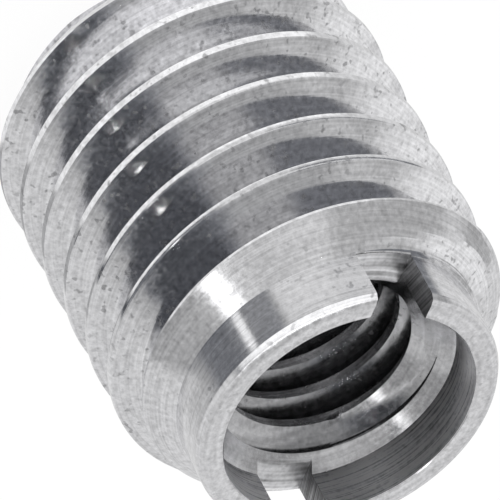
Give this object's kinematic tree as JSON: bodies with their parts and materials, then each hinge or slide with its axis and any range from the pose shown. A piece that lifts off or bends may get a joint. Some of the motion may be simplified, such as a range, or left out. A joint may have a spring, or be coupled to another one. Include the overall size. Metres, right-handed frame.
{
  "type": "thread bushing",
  "caption": "Steel screw-in thread bushing: coarse outer thread, slotted collar behind a cone, and a threaded hole right through for a machine screw.",
  "frame": {"origin": "centre of the plain end, which the bushing stands on", "axes": "+Z along the thread axis towards the slotted collar; +X along the drive slot"},
  "size_m": [0.01, 0.01, 0.012],
  "materials": {
    "steel": "turned bright steel, lightly speckled"
  },
  "bodies": {
    "root": {"bushing": "steel"}
  },
  "joints": []
}
